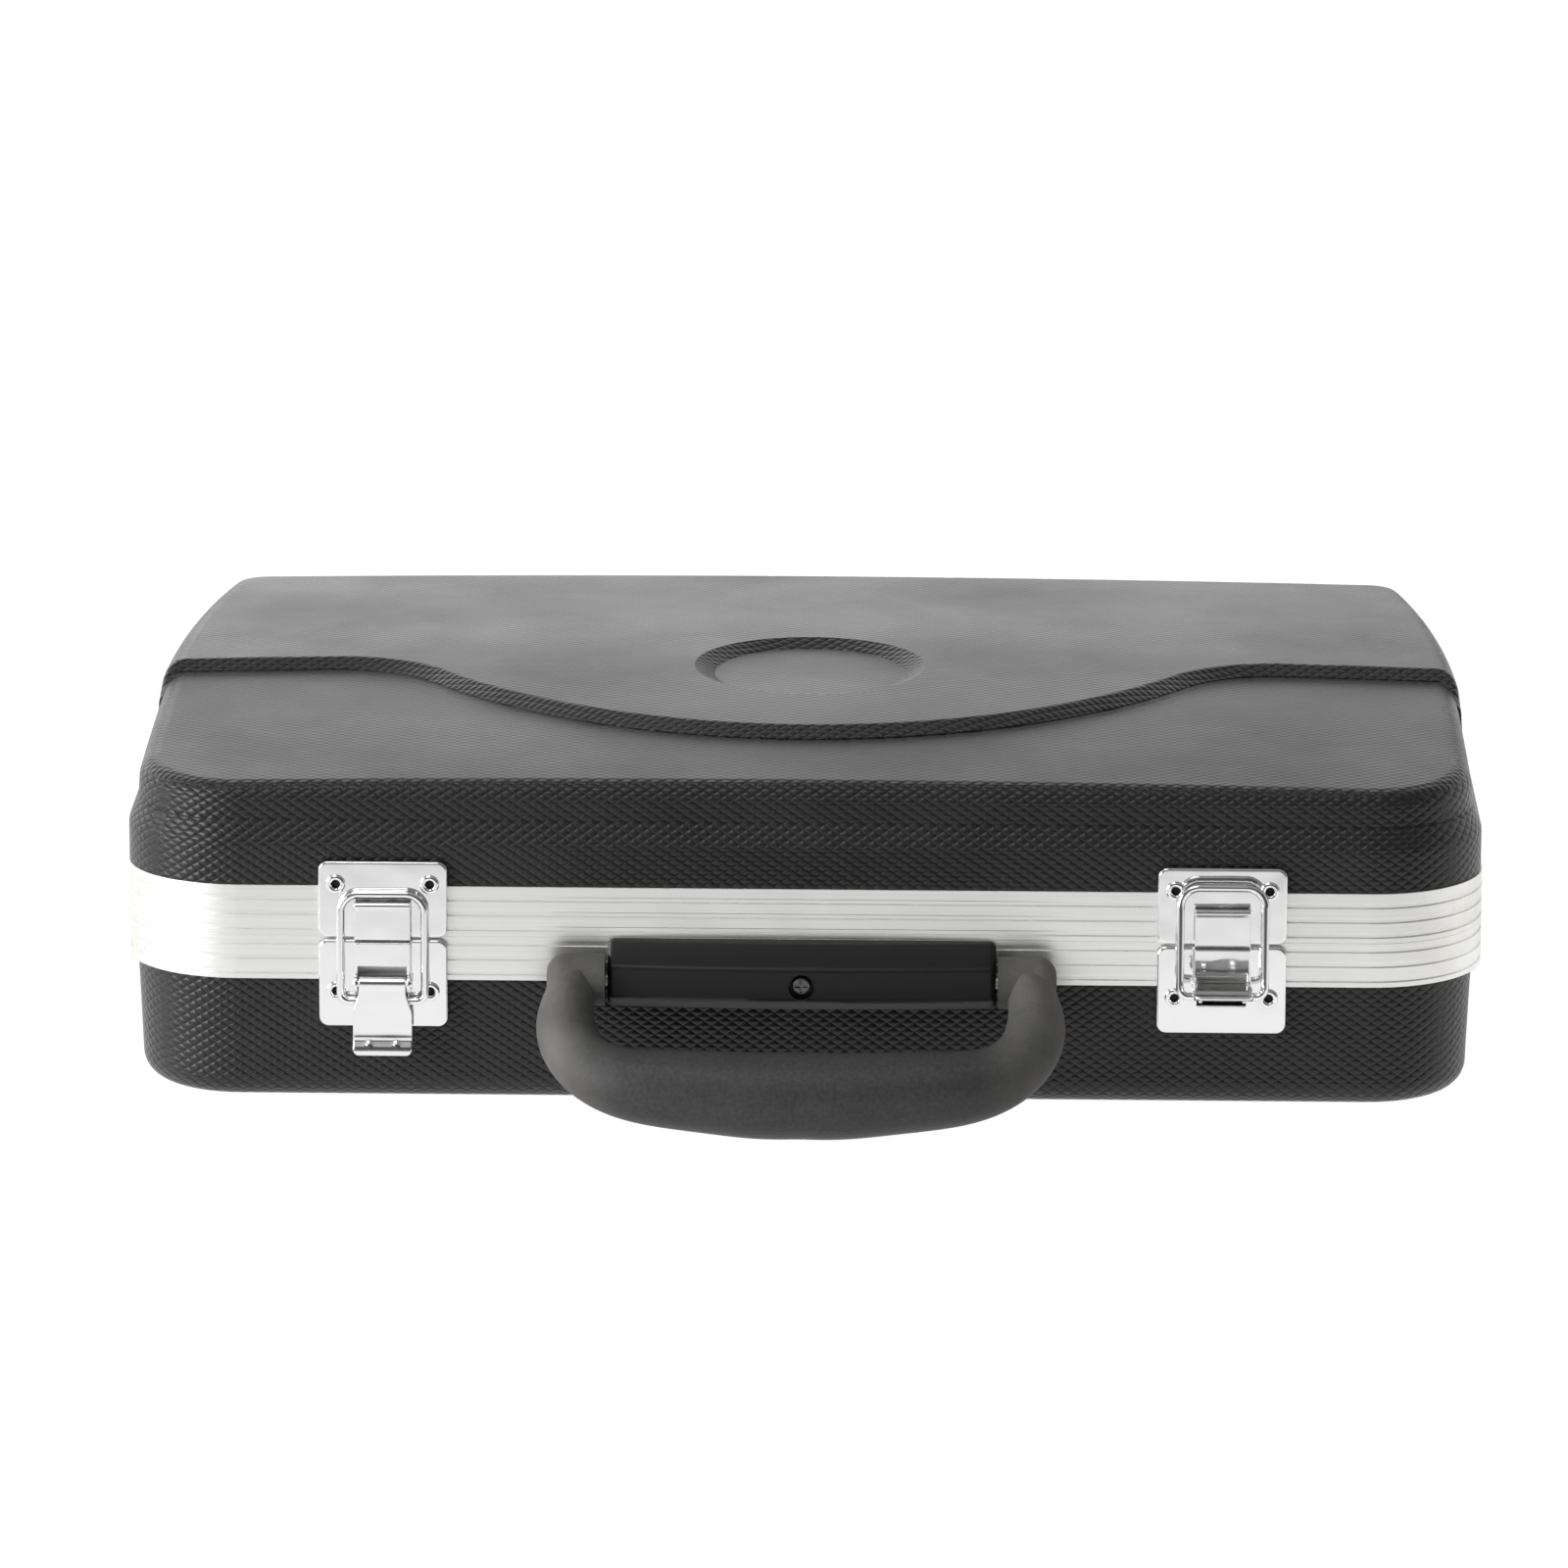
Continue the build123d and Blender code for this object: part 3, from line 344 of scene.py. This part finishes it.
def rim_aluminium():
    """Satin drawn aluminium: fine lines along the rim, warm scuffs at the case's ends."""
    material, tree, shader = new_material("rim_aluminium")
    coordinates = object_coordinates(tree)
    stretch = tree.nodes.new("ShaderNodeMapping")
    stretch.inputs["Scale"].default_value = DRAWN_LINES
    tree.links.new(coordinates, stretch.inputs["Vector"])
    drawn = noise(tree, stretch.outputs[0], scale=1.0, detail=2, roughness=0.5)
    clean = ramp(tree, drawn, (0.3, (0.84, 0.84, 0.825)), (0.7, (0.90, 0.90, 0.885)))
    across = parts_of(tree, coordinates)[0]
    from_middle = math_node(tree, "ABSOLUTE", across)
    ends = map_range(tree, from_middle, ENDS_FROM, ENDS_FULL)
    scuffs = noise(tree, coordinates, scale=300, detail=5, roughness=0.65)
    share = math_node(tree, "MULTIPLY_ADD", ends, SCUFFS_AT_ENDS, SCUFFS_ALONG)
    worn = math_node(tree, "MULTIPLY", scuffs, share)
    spots = ramp(tree, worn, (0.52, grey(0.0)), (0.68, grey(0.5)))
    cloud = noise(tree, coordinates, scale=35, detail=3, roughness=0.5)
    warm = ramp(tree, cloud, (0.35, (1.0, 1.0, 1.0)), (0.65, (0.90, 0.885, 0.84)))
    clean = mix_colours(tree, ends, clean, warm, "MULTIPLY")
    colour = mix_colours(tree, spots, clean, (0.46, 0.42, 0.34, 1))
    tree.links.new(colour, shader.inputs["Base Color"])
    rough = ramp(tree, cloud, (0.35, grey(0.36)), (0.65, grey(0.44)))
    tree.links.new(rough, shader.inputs["Roughness"])
    shader.inputs["Metallic"].default_value = 1.0
    edges = rounded_edges(tree, 0.3 * MM)
    bump(tree, shader, drawn, 0.008 * MM, strength=0.35, base=edges)
    return material


def polished(name, colour, roughness, wave=0.0, edge=0.35 * MM):
    """Bright plating: soft edges, a pressed sheet's slight waves, and the haze of handling."""
    material, tree, shader = new_material(name)
    coordinates = object_coordinates(tree)
    handled = noise(tree, coordinates, scale=180, detail=4, roughness=0.6)
    rough = ramp(tree, handled, (0.4, grey(roughness)), (0.7, grey(roughness * 2)))
    tree.links.new(rough, shader.inputs["Roughness"])
    shader.inputs["Base Color"].default_value = colour
    shader.inputs["Metallic"].default_value = 1.0
    waves = noise(tree, coordinates, scale=90, detail=1, roughness=0.4)
    bump(tree, shader, waves, wave, base=rounded_edges(tree, edge))
    return material


# ---------------------------------------------------------------------------
# Handle, mount and plush
# ---------------------------------------------------------------------------
def dull_plastic(name, level, roughness, grain, depth):
    """A dark plastic with a fine grain and little shine."""
    material, tree, shader = new_material(name)
    coordinates = object_coordinates(tree)
    speckle = noise(tree, coordinates, scale=grain, detail=3, roughness=0.6)
    colour = ramp(tree, speckle, (0.3, grey(level * 0.85)), (0.7, grey(level * 1.15)))
    tree.links.new(colour, shader.inputs["Base Color"])
    shader.inputs["Roughness"].default_value = roughness
    shader.inputs["Specular IOR Level"].default_value = 0.35
    bump(tree, shader, speckle, depth, strength=0.6)
    return material


# the handle's arms: distance from the case's middle at which the dust starts and is full
ARMS_FROM, ARMS_FULL = 46 * MM, 64 * MM
DUST = (0.150, 0.146, 0.140, 1)


def handle_rubber():
    """A worn matte grip: grey dust rubbed into the bends where hands and floors meet it."""
    material, tree, shader = new_material("handle_rubber")
    coordinates = object_coordinates(tree)
    speckle = noise(tree, coordinates, scale=900, detail=3, roughness=0.6)
    rubber = ramp(tree, speckle, (0.3, grey(0.027)), (0.7, grey(0.049)))
    across = parts_of(tree, coordinates)[0]
    from_middle = math_node(tree, "ABSOLUTE", across)
    arms = map_range(tree, from_middle, ARMS_FROM, ARMS_FULL, 0.05, 1.0)
    smears = noise(tree, coordinates, scale=60, detail=4, roughness=0.55)
    smeared = ramp(tree, smears, (0.33, grey(0.45)), (0.62, grey(1.0)))
    dust = math_node(tree, "MULTIPLY", smeared, arms)
    colour = mix_colours(tree, dust, rubber, DUST)
    tree.links.new(colour, shader.inputs["Base Color"])
    tree.links.new(map_range(tree, dust, 0.0, 1.0, 0.5, 0.8), shader.inputs["Roughness"])
    shader.inputs["Specular IOR Level"].default_value = 0.35
    bump(tree, shader, speckle, 0.05 * MM, strength=0.6)
    return material


def plush(name, colour):
    """Short pile that is brushed unevenly, from a darker to a lighter shade of one colour."""
    material, tree, shader = new_material(name)
    coordinates = object_coordinates(tree)
    pile = noise(tree, coordinates, scale=1400, detail=3, roughness=0.7)
    nap = noise(tree, coordinates, scale=22, detail=3, roughness=0.55)
    shade = math_node(tree, "MULTIPLY", math_node(tree, "ADD", pile, nap), 0.5)
    dark = tuple(c * 0.55 for c in colour)
    light = tuple(c * 1.5 for c in colour)
    tree.links.new(ramp(tree, shade, (0.36, dark), (0.64, light)), shader.inputs["Base Color"])
    shader.inputs["Roughness"].default_value = 0.95
    shader.inputs["Sheen Weight"].default_value = 0.6
    shader.inputs["Sheen Roughness"].default_value = 0.4
    bump(tree, shader, pile, 0.35 * MM)
    return material


paint(["base_shell", "lid_shell"], woven_plastic())
paint(["base_rim", "lid_rim"], rim_aluminium())
chrome = polished("chrome_plate", grey(0.80), roughness=0.06, wave=0.35 * MM, edge=0.7 * MM)
wire_chrome = polished("chrome_wire", grey(0.82), roughness=0.04, edge=0.1 * MM)
nickel = polished("nickel_plate", (0.74, 0.73, 0.71, 1), roughness=0.16, wave=0.1 * MM)
zinc = polished("zinc_steel", grey(0.42), roughness=0.25)
steel = polished("dull_steel", grey(0.19), roughness=0.3)
mount_plastic = dull_plastic(
    "mount_plastic", level=0.006, roughness=0.42, grain=1500, depth=0.02 * MM
)
paint(matching("catch_plate", "latch_base", "latch_lever"), chrome)
paint(matching("latch_bail", "latch_pin"), wire_chrome)
paint(matching("hinge_"), nickel)
paint(["handle_backing_plate", "handle_pins"], zinc)
paint(["handle_mount_screw"], steel)
paint(["handle_grip"], handle_rubber())
paint(["handle_mount"], mount_plastic)
plush_cloth = plush("plush", (0.020, 0.024, 0.055))


# ---------------------------------------------------------------------------
# Plush: each moulded soft part as a padded piece with soft, full edges
# ---------------------------------------------------------------------------
PLUSH_VOXEL = 2.2 * MM
SMOOTHING, SMOOTHING_ROUNDS = 0.5, 5
# The swell's height and the width of its clouds. Its zero level is near the clouds' top,
# so the plush mostly sinks and stays inside its CAD solid.
PLUSH_SWELL, SWELL_WIDTH, SWELL_ZERO = 1.0 * MM, 22 * MM, 0.95


def plush_pad(node, body, name):
    """A padded copy of a soft CAD solid: remeshed, smoothed and slightly uneven."""
    mesh = nodes[node].data.copy()
    piece = add_object(name, mesh)
    form = welded(mesh)
    form.to_mesh(mesh)
    form.free()
    remesh = piece.modifiers.new("remesh", "REMESH")
    remesh.mode = "VOXEL"
    remesh.voxel_size = PLUSH_VOXEL
    soft = piece.modifiers.new("soft", "SMOOTH")
    soft.factor = SMOOTHING
    soft.iterations = SMOOTHING_ROUNDS
    unevenness = bpy.data.textures.new(name + "_swell", "CLOUDS")
    unevenness.noise_scale = SWELL_WIDTH
    swell = piece.modifiers.new("swell", "DISPLACE")
    swell.texture = unevenness
    swell.strength = PLUSH_SWELL
    swell.mid_level = SWELL_ZERO
    swell.texture_coords = "LOCAL"
    apply_modifiers(piece)
    piece.data.materials.clear()
    piece.data.materials.append(plush_cloth)
    shade_smooth(piece.data)
    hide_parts(node)
    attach(piece, body)


plush_pad("base_insert", "base", "insert_pad")
plush_pad("lid_lining", "lid", "lining_pad")


# ---------------------------------------------------------------------------
# Latch levers: a stamped sheet with a stepped face, a finger lip and two dimples
# ---------------------------------------------------------------------------
# Sizes of a closed lever are in millimetres from its pivot: reach points out of the plate,
# along points up to the lid, and side points across.
# the sheet, from the barrel down to the lip: along, reach, half width
LEVER_STATIONS = [
    (1.3, 1.15, 6.2),
    (0.7, 1.62, 6.2),
    (0.0, 1.75, 6.2),
    (-2.2, 1.75, 6.2),
    (-4.8, 1.75, 6.98),
    (-7.4, 1.75, 7.75),
    (-9.2, 1.75, 7.75),
    (-10.2, 1.45, 7.75),
    (-11.2, 1.12, 7.75),
    (-12.4, 1.02, 7.75),
    (-13.8, 1.10, 7.75),
    (-14.5, 1.22, 7.75),
    (-15.1, 1.16, 7.75),
    (-15.6, 1.32, 7.75),
    (-16.2, 1.66, 7.75),
    (-16.8, 2.00, 7.75),
    (-17.4, 2.22, 7.75),
    (-18.2, 2.30, 7.45),
    (-18.6, 2.18, 7.0),
    (-18.85, 1.95, 6.3),
]
LEVER_ROWS, LEVER_COLUMNS = 96, 60
LEVER_SHEET = 0.8 * MM
DIMPLE = {"along": -16.1, "side": 3.6, "height": 0.40, "radius": 0.62}
# half section of the rolled barrel: radius, side
BARREL_SECTION = [(2.2, -6.0), (2.2, 6.0), (2.0, 6.2), (1.25, 6.2), (1.25, -6.2), (2.0, -6.2)]
# outline of a cheek as reach, along, and the side of its outer and inner face
CHEEK = [
    (-2.0, -0.6),
    (-1.2, 0.0),
    (1.7, 0.0),
    (1.7, -7.0),
    (0.2, -7.0),
    (-1.3, -6.6),
    (-2.1, -5.4),
]
CHEEK_SIDES = (6.2, 5.3)
# edges sharper than this stay sharp
SHARP_FROM = math.radians(40)
# places in the case: the levers' pivot line, and each latch from the middle
PIVOT_Y, PIVOT_Z = -119.0 * MM, 34.2 * MM
LATCH_X = 110.3 * MM


def through(stations, rows):
    """Points on a smooth line through the stations, as Catmull-Rom curves."""
    line = []
    last = len(stations) - 1
    for row in range(rows):
        place = row * last / (rows - 1)
        start = min(int(place), last - 1)
        t = place - start
        a, b, c, d = (Vector(stations[min(max(start + k, 0), last)]) for k in (-1, 0, 1, 2))
        curve = 2 * b + (c - a) * t
        curve += (2 * a - 5 * b + 4 * c - d) * t**2
        curve += (3 * b - a - 3 * c + d) * t**3
        line.append(0.5 * curve)
    return line


def pressed_face(form, at):
    """The sheet's middle surface, with the two dimples of the finger lip."""
    grid = []
    for along, reach, half in through(LEVER_STATIONS, LEVER_ROWS):
        row = []
        for column in range(LEVER_COLUMNS + 1):
            side = half * (2 * column / LEVER_COLUMNS - 1)
            apart = min(
                math.hypot(side - way * DIMPLE["side"], along - DIMPLE["along"]) for way in (-1, 1)
            )
            rise = DIMPLE["height"] * math.exp(-((apart / DIMPLE["radius"]) ** 2))
            row.append(form.verts.new(at(side, reach + rise, along)))
        grid.append(row)
    for above, below in zip(grid, grid[1:]):
        for k in range(LEVER_COLUMNS):
            form.faces.new((above[k], above[k + 1], below[k + 1], below[k]))


def barrel_and_cheeks(form, at):
    """The rolled tube round the pivot pin, and the two side walls below it."""
    revolve(form, BARREL_SECTION, lambda reach, along, side: at(side, reach, along))
    for way in (-1, 1):
        walls = [
            [form.verts.new(at(way * side, reach, along)) for reach, along in CHEEK]
            for side in CHEEK_SIDES
        ]
        for wall in walls:
            form.faces.new(wall)
        bridge(form, *walls)


def latch_lever(name, x, swing):
    """A stamped lever at a latch's place, swung out by so many degrees."""
    turn = math.radians(swing)
    outward = Vector((0, -math.cos(turn), math.sin(turn)))
    upward = Vector((0, math.sin(turn), math.cos(turn)))
    pivot = Vector((x, PIVOT_Y, PIVOT_Z))

    def at(side, reach, along):
        return pivot + MM * (Vector((side, 0, 0)) + reach * outward + along * upward)

    sheet = bmesh.new()
    pressed_face(sheet, at)
    lever = new_piece(name, sheet, chrome)
    solid = lever.modifiers.new("sheet", "SOLIDIFY")
    solid.thickness = LEVER_SHEET
    solid.offset = 0.0
    apply_modifiers(lever)
    whole = bmesh.new()
    whole.from_mesh(lever.data)
    barrel_and_cheeks(whole, at)
    bmesh.ops.recalc_face_normals(whole, faces=whole.faces)
    whole.to_mesh(lever.data)
    whole.free()
    shade_smooth(lever.data)
    lever.data.set_sharp_from_angle(angle=SHARP_FROM)
    return lever


for side_name, side_x, swing in (("left", -LATCH_X, 0.0), ("right", LATCH_X, 92.0)):
    stamped = latch_lever("lever_" + side_name + "_stamped", side_x, swing)
    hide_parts("latch_lever_" + side_name)
    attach(stamped, "lever_" + side_name)


# ---------------------------------------------------------------------------
# Hollow rivets with rolled mouths
# ---------------------------------------------------------------------------
# half section of a rivet's head in millimetres, from the hole outwards: radius, distance
# in front of the plate
RIVET_SECTION = [
    (1.02, -1.1),
    (1.04, -0.2),
    (1.16, 0.35),
    (1.45, 0.62),
    (1.85, 0.70),
    (2.25, 0.56),
    (2.52, 0.28),
    (2.60, -0.1),
    (2.60, -0.35),
]
# how far the plain rivets of the CAD stand in front of their plate
RIVET_STAND = 0.70 * MM
# the disc that closes the hole, a sheet of painted shade deep in the tube, in millimetres
HOLE_RADIUS, HOLE_DEPTH = 1.1, 0.9


def hollow_rivets(node, body, name):
    """Tubular rivets whose mouths are rolled over, with a near-black disc in each tube as painted
    shade.
    """
    heads = bmesh.new()
    shade_paint_discs = bmesh.new()
    for points in islands(nodes[node].data):
        low = [min(p[axis] for p in points) for axis in range(3)]
        high = [max(p[axis] for p in points) for axis in range(3)]
        centre = Vector(((low[0] + high[0]) / 2, low[1] + RIVET_STAND, (low[2] + high[2]) / 2))

        def corner(across, rise, ahead):
            return centre + MM * Vector((across, -ahead, rise))

        revolve(heads, RIVET_SECTION, corner)
        rim = circle(HOLE_RADIUS)
        shade_paint_discs.faces.new([shade_paint_discs.verts.new(corner(*place, -HOLE_DEPTH)) for place in rim])
    rivets = new_piece(name, heads, wire_chrome)
    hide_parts(node)
    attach(rivets, body)
    tube_shade_piece = new_piece(name + "_tube_shade", shade_paint_discs, shadowed)
    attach(tube_shade_piece, body)


# painted shade: a near-black material for the disc deep in each rivet's tube
shadowed = dull_plastic("rivet_tube_painted_shade", level=0.012, roughness=0.6, grain=600, depth=0.01 * MM)
hollow_rivets("catch_plate_rivets", "lid", "catch_rivets")
hollow_rivets("latch_base_rivets", "base", "base_rivets")


# ---------------------------------------------------------------------------
# Camera, from the photograph's viewpoint, solved on the corners of the rims
# ---------------------------------------------------------------------------
FRAME_PIXELS = 1600
FOCAL_PIXELS = 9450
SENSOR_WIDTH = 36
DISTANCE = 2.543
PITCH = math.radians(13.96)
YAW = math.radians(-1.08)
ROLL = math.radians(-0.21)
TARGET_SIDE = -7.1 * MM
TARGET_HEIGHT = 59.6 * MM


def place_camera():
    turn = Matrix.Rotation(-YAW, 3, "Z")
    right = turn @ Vector((1, 0, 0))
    forward = turn @ Vector((0, math.cos(PITCH), -math.sin(PITCH)))
    up = right.cross(forward)
    target = turn @ Vector((TARGET_SIDE, 0, 0)) + Vector((0, 0, TARGET_HEIGHT))
    eye = target - DISTANCE * forward
    right_rolled = math.cos(ROLL) * right - math.sin(ROLL) * up
    up_rolled = math.sin(ROLL) * right + math.cos(ROLL) * up
    data = bpy.data.cameras.new("camera")
    data.sensor_width = SENSOR_WIDTH
    data.lens = FOCAL_PIXELS * data.sensor_width / FRAME_PIXELS
    data.clip_end = 50
    camera = add_object("camera", data)
    rotation = Matrix((right_rolled, up_rolled, -forward)).transposed()
    camera.matrix_world = Matrix.Translation(eye) @ rotation.to_4x4()
    bpy.context.scene.camera = camera


# ---------------------------------------------------------------------------
# Light, floor and background
# ---------------------------------------------------------------------------
# brightness of the tent round the case: its sides, the share left overhead, and the share
# that the dark in front takes away
TENT_LEFT, TENT_RIGHT = 2.0, 1.12
TENT_OVERHEAD = 0.25
FRONT_DARKNESS = 0.93
# The floor's glow. In reflections it rises between two distances in front of the case's
# middle, in metres. To the camera it is at least GLOW_TO_CAMERA all over.
FLOOR_SIZE = 12
GLOW_FROM, GLOW_FULL = -0.60, -0.22
GLOW_IN_FRONT, GLOW_AT_CASE, GLOW_TO_CAMERA = 0.45, 1.16, 1.06
# the glow's share of the floor where it is seen; the rest is plain white
GLOW_SHARE = 0.85


def seen_directly(tree):
    """1 for camera, glossy and transmission rays, 0 for the rest."""
    path = tree.nodes.new("ShaderNodeLightPath")
    total = math_node(tree, "ADD", path.outputs["Is Camera Ray"], path.outputs["Is Glossy Ray"])
    total = math_node(tree, "ADD", total, path.outputs["Is Transmission Ray"])
    return math_node(tree, "MINIMUM", total, 1.0)


def band(tree, value, low, high, soft):
    """1 where a value lies between low and high, falling to 0 over soft on each side."""
    rise = math_node(tree, "DIVIDE", math_node(tree, "SUBTRACT", value, low - soft), soft)
    fall = math_node(tree, "DIVIDE", math_node(tree, "SUBTRACT", high + soft, value), soft)
    inside = math_node(tree, "MINIMUM", rise, fall)
    return math_node(tree, "MAXIMUM", math_node(tree, "MINIMUM", inside, 1.0), 0.0)


def make_world():
    """A tent, brightest to the left, darker overhead and dark in front. The camera sees white."""
    world = bpy.data.worlds.new("studio")
    bpy.context.scene.world = world
    world.use_nodes = True
    tree = world.node_tree
    background = tree.nodes["Background"]
    direction = tree.nodes.new("ShaderNodeTexCoord").outputs["Generated"]
    # the direction is a unit vector, so each part runs from -1 to 1
    to_right, to_back, up = parts_of(tree, direction)
    sides = map_range(tree, to_right, -0.15, 0.12, TENT_LEFT, TENT_RIGHT)
    overhead = map_range(tree, up, 0.35, 0.72, 1.0, TENT_OVERHEAD)
    level = math_node(tree, "MULTIPLY", sides, overhead)
    in_front = band(tree, to_back, low=-2.0, high=-0.35, soft=0.45)
    low = band(tree, up, low=-0.02, high=0.55, soft=0.12)
    dark = math_node(tree, "MULTIPLY", math_node(tree, "MULTIPLY", in_front, low), FRONT_DARKNESS)
    level = math_node(tree, "MULTIPLY", level, math_node(tree, "SUBTRACT", 1.0, dark))
    camera = tree.nodes.new("ShaderNodeLightPath").outputs["Is Camera Ray"]
    unseen = math_node(tree, "MULTIPLY", level, math_node(tree, "SUBTRACT", 1.0, camera))
    background.inputs["Color"].default_value = (1, 1, 1, 1)
    tree.links.new(math_node(tree, "ADD", unseen, camera), background.inputs["Strength"])


def make_floor():
    """A floor that glows where the camera or a reflection sees it, and is plain white else."""
    bpy.ops.mesh.primitive_plane_add(size=FLOOR_SIZE, location=(0, 0, 0))
    floor = bpy.context.object
    floor.name = "floor"
    material = bpy.data.materials.new("floor_white")
    material.use_nodes = True
    tree = material.node_tree
    tree.nodes.clear()
    output = tree.nodes.new("ShaderNodeOutputMaterial")
    diffuse = tree.nodes.new("ShaderNodeBsdfDiffuse")
    diffuse.inputs["Color"].default_value = grey(0.8)
    glow = tree.nodes.new("ShaderNodeEmission")
    glow.inputs["Color"].default_value = grey(1.0)
    to_back = parts_of(tree, object_coordinates(tree))[1]
    sweep = map_range(tree, to_back, GLOW_FROM, GLOW_FULL, GLOW_IN_FRONT, GLOW_AT_CASE)
    camera = tree.nodes.new("ShaderNodeLightPath").outputs["Is Camera Ray"]
    seen = math_node(tree, "MULTIPLY", camera, GLOW_TO_CAMERA)
    tree.links.new(math_node(tree, "MAXIMUM", sweep, seen), glow.inputs["Strength"])
    mix = tree.nodes.new("ShaderNodeMixShader")
    share = math_node(tree, "MULTIPLY", seen_directly(tree), GLOW_SHARE)
    tree.links.new(share, mix.inputs[0])
    tree.links.new(diffuse.outputs[0], mix.inputs[1])
    tree.links.new(glow.outputs[0], mix.inputs[2])
    tree.links.new(mix.outputs[0], output.inputs["Surface"])
    floor.data.materials.append(material)


def area_light(name, place, aim, size, power):
    data = bpy.data.lights.new(name, "AREA")
    data.shape = "RECTANGLE"
    data.size, data.size_y = size
    data.energy = power
    light = add_object(name, data)
    light.location = place
    direction = Vector(aim) - Vector(place)
    light.rotation_euler = direction.to_track_quat("-Z", "Y").to_euler()
    light.visible_camera = False


make_world()
make_floor()
area_light("key", (-0.45, -0.9, 1.7), aim=(0, 0, 0.05), size=(0.9, 0.5), power=6)
area_light("left", (-1.5, -0.9, 0.5), aim=(0, 0, 0.04), size=(1.2, 0.9), power=26)
place_camera()
bpy.context.scene.view_settings.view_transform = "Standard"
